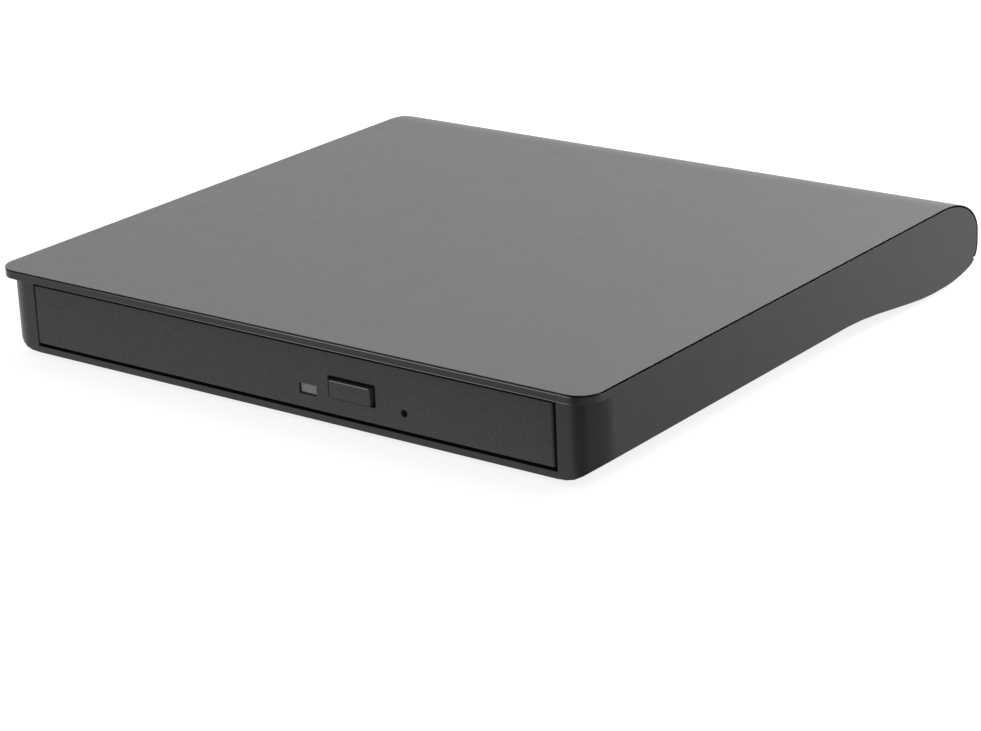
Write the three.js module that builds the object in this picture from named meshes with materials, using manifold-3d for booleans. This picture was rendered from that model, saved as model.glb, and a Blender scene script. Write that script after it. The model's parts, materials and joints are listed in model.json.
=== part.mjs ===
// External slim optical drive: a flat enclosure with a rolled rear edge that holds a tray-loading drive.
// Millimetres, +Z up, +X to the right, -Y to the front. Origin: centre of the footprint, on the ground.
import * as THREE from "three";
import { mergeVertices } from "three/addons/utils/BufferGeometryUtils.js";
import Module from "manifold-3d";

const wasm = await Module();
wasm.setup();

// ---- Driving dimensions ----

// Enclosure. Inside the device group y = 0 is the front face and z = 0 is the underside.
const WIDTH = 145.4;
const HEIGHT = 17.34;
const LIP_OVERHANG = 1.93;
const LIP_BOTTOM = 15.47;
const FOOT_DROP = 1;
const REAR_REACH = 140.2;
const NOSE = { y: 125.2, z: 8.6 };
const HEEL = { z: 6.1, radius: 4.6 };
const BULGE_BOTTOM = 0.2;
const SIDE_BOTTOM = 3.52;
const FLAT_HALF = 64.2;
const CORNER_RADIUS = 6;
const LIP_RADIUS = 4.6;
const SIDE_WALL = 1.8;
const ROOF_WALL = 2.34;
const FLOOR_WALL = 1.6;
const PLATE = { thickness: 0.3, brim: 0.16, brimWidth: 0.7 };
const POCKET_DEPTH = 0.5;
const FRONT_RIM = { rise: 0.17, width: 0.45 };

// Front opening and the drive that fills it
const OPENING = { x: [-64.35, 64.5], sill: 1.35, sillDepth: 1.6 };
const DRIVE_HALF = 64;
const DRIVE_BOTTOM = 1.95;
const DRIVE_TOP = 14.65;
const DRIVE_REAR = 126;
const SHEET_METAL = 0.6;
const BEZEL = { x: [-64.15, 63.75], y: [0, 2.2], z: [2.05, 14.25], corner: 0.45 };

// Controls in the bezel
const BUTTON_POCKET = { x: [12.15, 23.4], z: [5.25, 9.6] };
const BUTTON = { x: [12.75, 22.6], z: [5.5, 8.95], proud: 0.6, middle: 17.7 };
const LED_WINDOW = { x: [4.95, 9.2], z: [4.72, 6.82], recess: 0.5, fit: 0.12 };
const PIN_HOLE = { x: 30.1, z: 5.5, radius: 0.75 };

// Tray
const HUB_Y = 64.2;
const DISC_WELL_RADIUS = 60.5;
const SMALL_WELL_RADIUS = 40.5;
const TRAY_HALF = 62.2;
const TRAY_FRONT = 2.5;
const TRAY_REAR = 124.2;
const TRAY_BOTTOM = 9.2;
const TRAY_TOP = 12.6;
const WELL_FLOOR = 10.6;
const RAIL_Z = 7;
const RAIL_FRONT = 8;
const RAIL_REAR = 118;

// Mechanism, laid out along the sled's travel: r runs from the hub to the disc's edge, a across it
const SLED_ANGLE = (225 * Math.PI) / 180;
const SLED_START = 23;
const ROD = { radius: 1.2, z: 6.6, main: -12, side: 9, start: 12.5, end: 66.4 };
const SCREW = { a: 16.6, start: 12.9, end: 59.4, root: 0.95, crest: 1.3, pitch: 3 };
const TURNTABLE_RADIUS = 12.6;
const DISC_SEAT = 11;
const HUB_RADIUS = 7.3;
const HUB_TOP = 12.9;
const CLEARANCE = 0.3;

// ---- Solids ----

const ALONG_X = new THREE.Matrix4().makeBasis(
  new THREE.Vector3(0, 1, 0),
  new THREE.Vector3(0, 0, 1),
  new THREE.Vector3(1, 0, 0),
);
const ALONG_Y = new THREE.Matrix4().makeRotationX(Math.PI / 2);

function solid(geometry) {
  const bare = geometry.clone();
  bare.deleteAttribute("normal");
  bare.deleteAttribute("uv");
  const merged = mergeVertices(bare);
  return new wasm.Manifold(
    new wasm.Mesh({
      numProp: 3,
      vertProperties: merged.attributes.position.array,
      triVerts: new Uint32Array(merged.index.array),
    }),
  );
}

function box([x0, x1], [y0, y1], [z0, z1]) {
  const shape = new THREE.BoxGeometry(x1 - x0, y1 - y0, z1 - z0);
  return solid(shape.translate((x0 + x1) / 2, (y0 + y1) / 2, (z0 + z1) / 2));
}

function cylinder(radius, [low, high], x = 0, y = 0, sides = 24) {
  const shape = new THREE.CylinderGeometry(radius, radius, high - low, sides);
  return solid(shape.rotateX(Math.PI / 2).translate(x, y, (low + high) / 2));
}

function cylinderAlongY(radius, [low, high], x, z, sides = 16) {
  const shape = new THREE.CylinderGeometry(radius, radius, high - low, sides);
  return solid(shape.translate(x, (low + high) / 2, z));
}

function cylinderAlongX(radius, [low, high], y, z, sides = 16) {
  const shape = new THREE.CylinderGeometry(radius, radius, high - low, sides);
  return solid(shape.rotateZ(Math.PI / 2).translate((low + high) / 2, y, z));
}

function extruded(shape, depth, steps = 10) {
  return new THREE.ExtrudeGeometry(shape, { depth, bevelEnabled: false, curveSegments: steps });
}

// A plan outline (x, y) between two heights.
function plate(shape, [low, high], steps) {
  return solid(extruded(shape, high - low, steps).translate(0, 0, low));
}

// A side outline (y, z) between two x.
function acrossX(shape, [low, high], steps) {
  return solid(extruded(shape, high - low, steps).applyMatrix4(ALONG_X).translate(low, 0, 0));
}

// A front outline (x, z) between two y.
function acrossY(shape, [low, high], steps) {
  return solid(extruded(shape, high - low, steps).applyMatrix4(ALONG_Y).translate(0, high, 0));
}

function turned(profile, sides = 32) {
  const points = profile.map(([radius, z]) => new THREE.Vector2(radius, z));
  const closed = points[0].x > 0 ? [...points, points[0]] : points;
  return solid(new THREE.LatheGeometry(closed, sides).rotateX(Math.PI / 2));
}

function polygon(points) {
  return new THREE.Shape(points.map(([x, y]) => new THREE.Vector2(x, y)));
}

// A rectangle with its own radius at the low-y corners and at the high-y corners.
function roundedPlan([x0, x1], [y0, y1], front, rear = front) {
  const shape = new THREE.Shape();
  shape.moveTo(x0 + front, y0);
  shape.lineTo(x1 - front, y0);
  shape.absarc(x1 - front, y0 + front, front, -Math.PI / 2, 0);
  shape.absarc(x1 - rear, y1 - rear, rear, 0, Math.PI / 2);
  shape.absarc(x0 + rear, y1 - rear, rear, Math.PI / 2, Math.PI);
  shape.absarc(x0 + front, y0 + front, front, Math.PI, 1.5 * Math.PI);
  return shape;
}

function join(...solids) {
  return solids.reduce((sum, next) => sum.add(next));
}

function cut(base, ...tools) {
  return tools.reduce((left, tool) => left.subtract(tool), base);
}

const both = (value) => [-value, value];

// ---- Finishes ----

const finishes = {
  satinGrey: { color: 0x7f7f80, roughness: 0.42, metalness: 0.35 },
  darkGrey: { color: 0x4b4b4c, roughness: 0.45, metalness: 0.1 },
  bezelGrey: { color: 0x3f3f40, roughness: 0.7, metalness: 0 },
  blackPlastic: { color: 0x1d1d1f, roughness: 0.6, metalness: 0 },
  whitePlastic: { color: 0xd8d6cf, roughness: 0.55, metalness: 0 },
  lens: { color: 0x9aa0a2, roughness: 0.25, metalness: 0 },
  rubber: { color: 0x2a2a2a, roughness: 0.9, metalness: 0 },
  sheetSteel: { color: 0xb4b6b8, roughness: 0.35, metalness: 0.9 },
  polishedSteel: { color: 0xd0d2d4, roughness: 0.15, metalness: 1 },
  circuitBoard: { color: 0x1f5a34, roughness: 0.5, metalness: 0 },
  chipBlack: { color: 0x17181a, roughness: 0.55, metalness: 0 },
  brassScrew: { color: 0xb89a5a, roughness: 0.3, metalness: 1 },
  ribbon: { color: 0xe6e2d6, roughness: 0.5, metalness: 0 },
};

function piece(name, body, finish) {
  const mesh = body.getMesh();
  const geometry = new THREE.BufferGeometry();
  geometry.setAttribute("position", new THREE.BufferAttribute(mesh.vertProperties, 3));
  geometry.setIndex(new THREE.BufferAttribute(mesh.triVerts, 1));
  geometry.computeVertexNormals();
  const made = new THREE.Mesh(geometry, new THREE.MeshStandardMaterial(finishes[finish]));
  made.name = name;
  return made;
}

// ---- Enclosure ----

const HALF = WIDTH / 2;
const TAIL_ANGLE = THREE.MathUtils.degToRad(-74);

// Rounds the roof edge over the nose, a quarter ellipse, and its heel, at a depth under the outer skin.
function nose(shape, depth, endAngle, backwards = false) {
  const roof = [NOSE.y, NOSE.z, REAR_REACH - NOSE.y - depth, HEIGHT - NOSE.z - depth];
  const heel = [REAR_REACH - HEEL.radius, HEEL.z, HEEL.radius - depth];
  if (!backwards) {
    shape.lineTo(NOSE.y, HEIGHT - depth);
    shape.absellipse(...roof, Math.PI / 2, 0, true);
    shape.absarc(...heel, 0, endAngle, true);
    return;
  }
  shape.absarc(...heel, endAngle, 0, false);
  shape.absellipse(...roof, 0, Math.PI / 2, false);
}

// Side outline (y, z): flat roof, round nose, shallow bulge under the rear, then the flanks' lower edge.
function sideOutline(depth) {
  const shape = new THREE.Shape();
  const bottom = BULGE_BOTTOM + depth;
  const flank = SIDE_BOTTOM + depth;
  shape.moveTo(0, HEIGHT - depth);
  nose(shape, depth, TAIL_ANGLE);
  shape.quadraticCurveTo(131.7, bottom, 125.3, bottom);
  shape.lineTo(121, bottom);
  shape.bezierCurveTo(113, bottom, 97, flank, 86, flank);
  shape.lineTo(0, flank);
  return shape;
}

// Front outline (x, z): flat underside that sweeps up to the flanks.
function frontOutline(inset, floor, roof) {
  const shape = new THREE.Shape();
  for (const side of [1, -1]) {
    const x = (value) => side * (value - inset);
    const rise = (value) => value + floor;
    if (side > 0) {
      shape.moveTo(0, floor);
      shape.lineTo(x(FLAT_HALF), floor);
      shape.quadraticCurveTo(x(67.5), floor, x(69.4), rise(1.28));
      shape.lineTo(x(HALF), rise(SIDE_BOTTOM));
      shape.lineTo(x(HALF), roof);
    } else {
      shape.lineTo(x(HALF), roof);
      shape.lineTo(x(HALF), rise(SIDE_BOTTOM));
      shape.lineTo(x(69.4), rise(1.28));
      shape.quadraticCurveTo(x(67.5), floor, x(FLAT_HALF), floor);
    }
  }
  return shape;
}

function enclosureBlock() {
  const cross = acrossY(frontOutline(0, 0, HEIGHT), [0, NOSE.y], 3);
  const profile = acrossX(sideOutline(0), both(HALF), 6);
  const plan = plate(roundedPlan(both(HALF), [0, REAR_REACH + 1], CORNER_RADIUS, 1.2), [-1, HEIGHT + 1], 4);
  const lip = plate(roundedPlan(both(HALF), [-LIP_OVERHANG, 40], LIP_RADIUS, 1), [LIP_BOTTOM, HEIGHT], 4);
  return join(join(cross, profile).intersect(plan), lip);
}

function enclosureCavity() {
  const roof = HEIGHT - ROOF_WALL;
  const cross = acrossY(frontOutline(SIDE_WALL, FLOOR_WALL, roof), [2, DRIVE_REAR + CLEARANCE], 2);
  const profile = acrossX(sideOutline(ROOF_WALL), both(HALF - SIDE_WALL), 4);
  const plan = plate(roundedPlan(both(HALF - SIDE_WALL), [2, REAR_REACH], CORNER_RADIUS - 2, 1), [-1, HEIGHT], 3);
  return join(cross, profile).intersect(plan);
}

// The part of the underside that the lower case makes, shrunk by a gap.
function lowerZone(gap) {
  return box(both(HALF - SIDE_WALL - gap), [2.3 + gap, 131 - gap], [-1, 4.4 - gap]);
}

// A layer of the roof between two depths that follows the nose down to its end angle.
function roofLayer(outer, inner, front, endAngle) {
  const shape = new THREE.Shape();
  shape.moveTo(front, HEIGHT - outer);
  nose(shape, outer, endAngle);
  nose(shape, inner, endAngle, true);
  shape.lineTo(front, HEIGHT - inner);
  return shape;
}

const PLATE_END = THREE.MathUtils.degToRad(-40);

// A sheet of the roof between two depths, inset all round from the outline of the case.
function roofSheet(outer, inner, inset, endAngle) {
  const half = HALF - inset;
  const front = inset - LIP_OVERHANG;
  const layer = acrossX(roofLayer(outer, inner, front, endAngle), both(half), 6);
  const outline = roundedPlan(both(half), [front, REAR_REACH + 3], LIP_RADIUS - inset, 0.5);
  return layer.intersect(plate(outline, [-1, HEIGHT + 2], 4));
}

// Its thin brim reaches the outline and covers a shadow gap that runs round the case.
function topPlate() {
  const brim = roofSheet(0, PLATE.brim, 0, PLATE_END);
  const body = roofSheet(0, PLATE.thickness, PLATE.brimWidth, PLATE_END);
  return join(brim, body).subtract(usbPort());
}

function platePocket() {
  return roofSheet(-1, POCKET_DEPTH, -1, PLATE_END - 0.12);
}

// A narrow raised edge along the lip's front that leaves a finer gap there than at the sides.
function frontRim() {
  const { rise, width } = FRONT_RIM;
  const height = [HEIGHT - POCKET_DEPTH - 0.2, HEIGHT - POCKET_DEPTH + rise];
  const outline = (inset) =>
    plate(roundedPlan(both(HALF - inset), [inset - LIP_OVERHANG, 40], LIP_RADIUS - inset, 1), height, 4);
  return outline(0).subtract(outline(width)).intersect(box(both(HALF), [-3, LIP_RADIUS - LIP_OVERHANG], height));
}

const SCREW_SPOTS = {
  front_left: [-66.9, 12],
  front_right: [66.9, 12],
  rear_left: [-66.9, 108],
  rear_right: [66.9, 108],
};
const SCREW_SEAT = 2.5;
const FOOT_SPOTS = {
  front_left: [-54, 14],
  front_right: [54, 14],
  rear_left: [-54, 116],
  rear_right: [54, 116],
};
const USB = { x: 28, z: 7.2, width: 7.6, height: 2.8, front: 133.6, rear: 139.3 };
const BOARD_SPOTS = { left: [-24.3, 129.4], right: [40, 129.4] };
const BRIDGE_BOARD_BOTTOM = 4.6;

function usbPort() {
  return box(
    [USB.x - USB.width / 2 - CLEARANCE, USB.x + USB.width / 2 + CLEARANCE],
    [USB.front, REAR_REACH + 2],
    [USB.z - USB.height / 2 - CLEARANCE, USB.z + USB.height / 2 + CLEARANCE],
  );
}

function upperCase() {
  const shell = enclosureBlock().subtract(enclosureCavity());
  const front = box(OPENING.x, [-0.5, 3], [FLOOR_WALL, HEIGHT - ROOF_WALL]);
  const sill = box(OPENING.x, [-0.5, OPENING.sillDepth], [OPENING.sill, FLOOR_WALL + 1]);
  const bosses = Object.values(SCREW_SPOTS).map(([x, y]) => cylinder(2.4, [4.4, 15.5], x, y, 20));
  const holes = Object.values(SCREW_SPOTS).map(([x, y]) => cylinder(1.2, [4, 9.6], x, y, 12));
  const opened = cut(shell, platePocket(), lowerZone(0), front, sill, usbPort());
  return cut(join(opened, frontRim(), ...bosses), ...holes);
}

function lowerCase() {
  const zone = enclosureBlock().intersect(lowerZone(CLEARANCE));
  const panel = zone.subtract(enclosureCavity());
  const pads = Object.values(SCREW_SPOTS).map(([x, y]) => cylinder(2.8, [0.5, 5], x, y, 20).intersect(zone));
  const posts = Object.values(BOARD_SPOTS).map(([x, y]) =>
    box([x - 1.8, x + 1.8], [y - 1.1, y + 1.2], [1, BRIDGE_BOARD_BOTTOM - 0.1]),
  );
  const ribs = [-1, 1].map((side) =>
    box([side * 65.2, side * 66.2].sort((a, b) => a - b), [18, 100], [1, 5]),
  );
  const counterbores = Object.values(SCREW_SPOTS).map(([x, y]) => cylinder(2.4, [-1, SCREW_SEAT], x, y, 20));
  const holes = Object.values(SCREW_SPOTS).map(([x, y]) => cylinder(1.2, [-1, 5], x, y, 12));
  const recesses = Object.values(FOOT_SPOTS).map(([x, y]) => cylinder(5.3, [-1, 0.9], x, y, 28));
  const pilots = Object.values(BOARD_SPOTS).map(([x, y]) => cylinder(0.9, [1.8, 6], x, y, 12));
  return cut(join(panel, ...pads, ...posts, ...ribs), ...counterbores, ...holes, ...recesses, ...pilots);
}

function caseScrew() {
  const seat = SCREW_SEAT - 0.1;
  const face = SCREW_SEAT - 1.1;
  const shank = [[0.9, seat], [0.9, 9.1], [0, 9.4]];
  const cross = [box([-1.3, 1.3], both(0.25), [0, face + 0.5]), box(both(0.25), [-1.3, 1.3], [0, face + 0.5])];
  return cut(turned([[0, face], [2.05, face], [2.05, seat], ...shank], 16), ...cross);
}

function foot() {
  return turned([[0, -FOOT_DROP], [4.5, -FOOT_DROP], [5, -0.6], [5, 0.6], [0, 0.6]], 28);
}

function bridgeBoard() {
  const board = box([-27.3, 44], [127.6, 136.6], [BRIDGE_BOARD_BOTTOM, BRIDGE_BOARD_BOTTOM + 1]);
  const holes = Object.values(BOARD_SPOTS).map(([x, y]) => cylinder(1, [0, 9], x, y, 12));
  return cut(board, ...holes);
}

function usbReceptacle() {
  const [x0, x1] = [USB.x - USB.width / 2, USB.x + USB.width / 2];
  const [z0, z1] = [USB.z - USB.height / 2, USB.z + USB.height / 2];
  const shell = box([x0, x1], [USB.front, USB.rear], [z0, z1]);
  const mouth = box([x0 + 0.35, x1 - 0.35], [USB.front + 1, USB.rear + 1], [z0 + 0.35, z1 - 0.35]);
  const tongue = box([x0 + 1.6, x1 - 1.6], [USB.front + 0.8, USB.rear - 1], [USB.z + 0.1, USB.z + 0.75]);
  return join(shell.subtract(mouth), tongue);
}

const PLUG = { x: [-21, 12], z: [6, 9.6], tongue: [7.4, 8.2] };

function drivePlug() {
  const body = box(PLUG.x, [127.9, 132], PLUG.z);
  return join(body, box([-18, 9], [121.5, 128], PLUG.tongue));
}

function driveSocket() {
  const body = box([-22, 13], [117, 126.4], [5, 9]);
  return cut(body, box([-18.4, 9.4], [120.5, 127], [PLUG.tongue[0] - CLEARANCE, PLUG.tongue[1] + CLEARANCE]));
}

function boardScrew() {
  const head = BRIDGE_BOARD_BOTTOM + 1.1;
  return turned([[0, 2.6], [0.6, 2.6], [0.6, head], [1.5, head], [1.5, head + 0.7], [1, head + 0.9], [0, head + 0.9]], 14);
}

function enclosure() {
  const parts = [
    piece("top_plate", topPlate(), "satinGrey"),
    piece("upper_case", upperCase(), "darkGrey"),
    piece("lower_case", lowerCase(), "darkGrey"),
    piece("bridge_board", bridgeBoard(), "circuitBoard"),
    piece("usb_receptacle", usbReceptacle(), "polishedSteel"),
    piece("drive_plug", drivePlug(), "blackPlastic"),
    piece("bridge_chip", box([17, 22], [129, 134], [5.7, 6.6]), "chipBlack"),
    piece("clock_crystal", box([-16, -12.4], [133.4, 136], [5.7, 6.8]), "polishedSteel"),
    piece("filter_capacitor", cylinder(2, [5.7, 9.4], 36.5, 133.9, 16), "blackPlastic"),
  ];
  for (const [spot, [x, y]] of Object.entries(SCREW_SPOTS)) {
    const screw = piece(`case_screw_${spot}`, caseScrew(), "polishedSteel");
    screw.position.set(x, y, 0);
    parts.push(screw);
  }
  for (const [spot, [x, y]] of Object.entries(FOOT_SPOTS)) {
    const pad = piece(`foot_${spot}`, foot(), "rubber");
    pad.position.set(x, y, 0);
    parts.push(pad);
  }
  for (const [spot, [x, y]] of Object.entries(BOARD_SPOTS)) {
    const screw = piece(`board_screw_${spot}`, boardScrew(), "brassScrew");
    screw.position.set(x, y, 0);
    parts.push(screw);
  }
  return parts;
}

// ---- Drive chassis ----

const LATCH_POST = { x: 31.1, y: 24.3, radius: 1, top: 6.2 };
const EJECTOR = { x: 46, z: 7.2, front: 110.4 };
const LATCH_PIVOT = { x: 38, y: 14, radius: 1.5 };

function driveBase() {
  const x = DRIVE_HALF - 0.1;
  const floor = box(both(x), [4.8, DRIVE_REAR], [DRIVE_BOTTOM, DRIVE_BOTTOM + SHEET_METAL]);
  const sides = [
    box([-x, -x + SHEET_METAL], [4.8, DRIVE_REAR], [DRIVE_BOTTOM, 10.6]),
    box([x - SHEET_METAL, x], [4.8, DRIVE_REAR], [DRIVE_BOTTOM, 10.6]),
  ];
  const rear = box(both(x), [DRIVE_REAR - SHEET_METAL, DRIVE_REAR], [DRIVE_BOTTOM, 10.6]);
  const socket = box([-22.4, 13.4], [120, 130], [4.6, 12]);
  const beads = [-30, 0, 30].map((at) => box([at - 4, at + 4], [60, 66], [DRIVE_BOTTOM - 1, 2.1]));
  return cut(join(floor, ...sides, rear), socket, ...beads);
}

function driveLid() {
  const x = DRIVE_HALF - 0.1;
  const roof = box(both(x), [4.8, DRIVE_REAR], [DRIVE_TOP - SHEET_METAL, DRIVE_TOP]);
  const sides = [
    box([-x, -x + SHEET_METAL], [4.8, DRIVE_REAR], [11, DRIVE_TOP]),
    box([x - SHEET_METAL, x], [4.8, DRIVE_REAR], [11, DRIVE_TOP]),
  ];
  const rear = box(both(x), [DRIVE_REAR - SHEET_METAL, DRIVE_REAR], [11, DRIVE_TOP]);
  const press = cylinder(15, [DRIVE_TOP - 0.2, DRIVE_TOP + 1], 0, HUB_Y, 40);
  return cut(join(roof, ...sides, rear), press);
}

function driveBoard() {
  const board = box([-50, 42], [98, 124], [3.2, 4.2]);
  return cut(board, cylinder(1.6, [2, 5], -46, 102, 16), cylinder(1.6, [2, 5], 38, 102, 16));
}

// Outer channel of a slide, on the chassis wall. side is 1 on the right and -1 on the left.
function railGuide(side) {
  const wall = [62, 63.1];
  const outline = polygon(
    [
      [wall[0], RAIL_Z - 1.8],
      [wall[1], RAIL_Z - 1.8],
      [wall[1], RAIL_Z + 1.8],
      [wall[0], RAIL_Z + 1.8],
      [wall[0], RAIL_Z + 0.7],
      [wall[0] + 0.85, RAIL_Z + 0.7],
      [wall[0] + 0.85, RAIL_Z - 0.7],
      [wall[0], RAIL_Z - 0.7],
    ].map(([x, z]) => [side * x, z]),
  );
  return acrossY(outline, [RAIL_FRONT, RAIL_REAR]);
}

// Middle member of a slide: a bar with a tongue on each side.
function rail(side) {
  const outline = polygon(
    [
      [60, RAIL_Z - 1.8],
      [61.6, RAIL_Z - 1.8],
      [61.6, RAIL_Z - 0.4],
      [62.5, RAIL_Z - 0.4],
      [62.5, RAIL_Z + 0.4],
      [61.6, RAIL_Z + 0.4],
      [61.6, RAIL_Z + 1.8],
      [60, RAIL_Z + 1.8],
      [60, RAIL_Z + 0.4],
      [59.1, RAIL_Z + 0.4],
      [59.1, RAIL_Z - 0.4],
      [60, RAIL_Z - 0.4],
    ].map(([x, z]) => [side * x, z]),
  );
  return acrossY(outline, [RAIL_FRONT, RAIL_REAR]);
}

function latchPost() {
  return cylinder(LATCH_POST.radius, [2.65, LATCH_POST.top], LATCH_POST.x, LATCH_POST.y, 16);
}

function ejectorPin() {
  const { x, z, front } = EJECTOR;
  return join(cylinderAlongY(1.85, [front, front + 1.6], x, z), cylinderAlongY(0.9, [front + 1, 125], x, z, 12));
}

class Helix extends THREE.Curve {
  constructor(radius, length, turns) {
    super();
    Object.assign(this, { radius, length, turns });
  }

  getPoint(t, target = new THREE.Vector3()) {
    const angle = 2 * Math.PI * this.turns * t;
    return target.set(this.radius * Math.cos(angle), this.length * t, this.radius * Math.sin(angle));
  }
}

function ejectorSpring() {
  const wire = new THREE.Shape().absarc(0, 0, 0.22, 0, 2 * Math.PI);
  const turns = 7;
  const coil = new THREE.ExtrudeGeometry(wire, {
    extrudePath: new Helix(1.6, 11.6, turns),
    steps: turns * 9,
    curveSegments: 3,
  });
  return solid(coil.translate(EJECTOR.x, EJECTOR.front + 2.1, EJECTOR.z));
}

function flexCable() {
  const outline = polygon([
    [44, 2.68],
    [96, 2.68],
    [96.6, 2.8],
    [97.4, 4.1],
    [97.2, 4.2],
    [96.3, 2.9],
    [95.9, 2.84],
    [44, 2.84],
  ]);
  return acrossX(outline, [-26, -14]);
}

function chassis() {
  return [
    piece("drive_base", driveBase(), "sheetSteel"),
    piece("drive_lid", driveLid(), "sheetSteel"),
    piece("drive_board", driveBoard(), "circuitBoard"),
    piece("drive_socket", driveSocket(), "blackPlastic"),
    piece("controller_chip", box([-36, -24], [104, 116], [4.3, 5.4]), "chipBlack"),
    piece("motor_driver_chip", box([20, 28], [102, 110], [4.3, 5.3]), "chipBlack"),
    piece("rail_guide_left", railGuide(-1), "whitePlastic"),
    piece("rail_guide_right", railGuide(1), "whitePlastic"),
    piece("rail_left", rail(-1), "whitePlastic"),
    piece("rail_right", rail(1), "whitePlastic"),
    piece("latch_post", latchPost(), "polishedSteel"),
    piece("ejector_pin", ejectorPin(), "whitePlastic"),
    piece("ejector_spring", ejectorSpring(), "polishedSteel"),
    piece("flex_cable", flexCable(), "ribbon"),
  ];
}

// ---- Tray ----

// Turns a solid from the mechanism's (r, a) axes into the device's axes.
const toDevice = new THREE.Matrix4().makeRotationZ(SLED_ANGLE).setPosition(0, HUB_Y, 0);

function placed(body) {
  return body.transform(toDevice.elements);
}

function skirt(side) {
  const outline = polygon(
    [
      [57.7, RAIL_Z - 1.8],
      [59.7, RAIL_Z - 1.8],
      [59.7, RAIL_Z - 0.7],
      [58.75, RAIL_Z - 0.7],
      [58.75, RAIL_Z + 0.7],
      [59.7, RAIL_Z + 0.7],
      [59.7, TRAY_BOTTOM + 0.5],
      [57.7, TRAY_BOTTOM + 0.5],
    ].map(([x, z]) => [side * x, z]),
  );
  return acrossY(outline, [6, RAIL_REAR]);
}

function tray() {
  const slab = plate(roundedPlan(both(TRAY_HALF), [TRAY_FRONT, TRAY_REAR], 1.5, 4), [TRAY_BOTTOM, TRAY_TOP], 5);
  const well = cylinder(DISC_WELL_RADIUS, [WELL_FLOOR, 20], 0, HUB_Y, 96);
  const smallWell = cylinder(SMALL_WELL_RADIUS, [WELL_FLOOR - 0.5, 20], 0, HUB_Y, 72);
  const window = placed(box([-17, 57.5], both(15.5), [0, 20]));
  const lensNotch = placed(box([57, 62.3], both(5), [0, WELL_FLOOR + 0.2]));
  const buttonNotch = box([10.9, 25.1], [0, 4.5], [0, WELL_FLOOR]);
  const pivot = cylinder(LATCH_PIVOT.radius, [4.7, TRAY_BOTTOM + 0.4], LATCH_PIVOT.x, LATCH_PIVOT.y, 20);
  const pushRib = box([43.5, 48.5], [107.6, 109.9], [5.4, TRAY_BOTTOM + 0.4]);
  const opened = cut(slab, well, smallWell, window, lensNotch, buttonNotch);
  return join(opened, skirt(-1), skirt(1), pivot, pushRib);
}

// The opening in the bezel for a part of the tray front.
function frontOpening({ x, z }) {
  return box(x, [-1, 3], z);
}

function bezel() {
  const body = plate(roundedPlan(BEZEL.x, BEZEL.y, BEZEL.corner, 0.3), BEZEL.z, 3);
  const pin = cylinderAlongY(PIN_HOLE.radius, [-1, 3], PIN_HOLE.x, PIN_HOLE.z);
  return cut(body, frontOpening(BUTTON_POCKET), frontOpening(LED_WINDOW), pin);
}

function ejectButton() {
  const { x, z, proud, middle } = BUTTON;
  const face = box(x, [-proud, 3], z);
  const flange = box([11.2, 24.8], [2.6, 3.4], [4.2, 10.2]);
  const stem = box([middle - 1, middle + 1], [3, 5], [6.2, 7.6]);
  return join(face, flange, stem);
}

function ledLens() {
  const { x, z, recess, fit } = LED_WINDOW;
  const pipe = box([x[0] + fit, x[1] - fit], [recess, 3], [z[0] + fit, z[1] - fit]);
  return join(pipe, box([x[0] - 0.5, x[1] + 0.5], [2.6, 4.4], [4.6, 7.2]));
}

// Lever that holds the closed tray on the latch post: hub, release arm, magnet arm and claw.
function latchHook() {
  const { x, y } = LATCH_PIVOT;
  const height = [5.2, 6.4];
  const hub = cylinder(3, height, x, y, 24);
  const releaseArm = box([28.9, x], [9.6, 12.2], height);
  const magnetArm = box([x, 47], [12.4, 16.2], height);
  const claw = plate(
    polygon([
      [x - 2, y],
      [x, y + 2],
      [36.3, 27.6],
      [30.7, 27.6],
      [30.7, 25.9],
      [33.4, 25.4],
      [33.4, 23],
    ]),
    height,
  );
  return cut(join(hub, releaseArm, magnetArm, claw), cylinder(LATCH_PIVOT.radius + CLEARANCE, [0, 20], x, y, 20));
}

function trayBottomCover() {
  const sheet = box([-57, 28.2], [8, 95], [3.2, 3.6]);
  const vents = [-40, -20, 0].map((x) => box([x - 3, x + 3], [84, 90], [3, 4]));
  return cut(sheet, ...vents);
}

function trayParts() {
  return [
    piece("disc_tray", tray(), "blackPlastic"),
    piece("bezel", bezel(), "bezelGrey"),
    piece("eject_button", ejectButton(), "bezelGrey"),
    piece("led_lens", ledLens(), "lens"),
    piece("tray_board", box([3, 26.6], [5.2, 14], [4.1, 5]), "circuitBoard"),
    piece("activity_led", box([6.2, 8], [5.3, 6.6], [5.1, 6.2]), "lens"),
    piece("eject_switch", box([15, 21], [5.9, 9.4], [5.1, 8.6]), "chipBlack"),
    piece("latch_hook", latchHook(), "blackPlastic"),
    piece("release_magnet", box([41, 53], [16.8, 33], [4.4, 8.8]), "sheetSteel"),
    piece("tray_bottom_cover", trayBottomCover(), "sheetSteel"),
  ];
}

// ---- Mechanism, in (r, a) axes ----

const DAMPER_SPOTS = { rear: [-20.9, -14], outer: [40, -21.5], inner: [30, 24.5] };
const FRAME_HEIGHT = [5, 8.4];
const EAR_HEIGHT = [5.6, 7.6];

function rodBetween(radius, [start, end], a, sides = 16) {
  return cylinderAlongX(radius, [start, end], a, ROD.z, sides);
}

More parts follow.
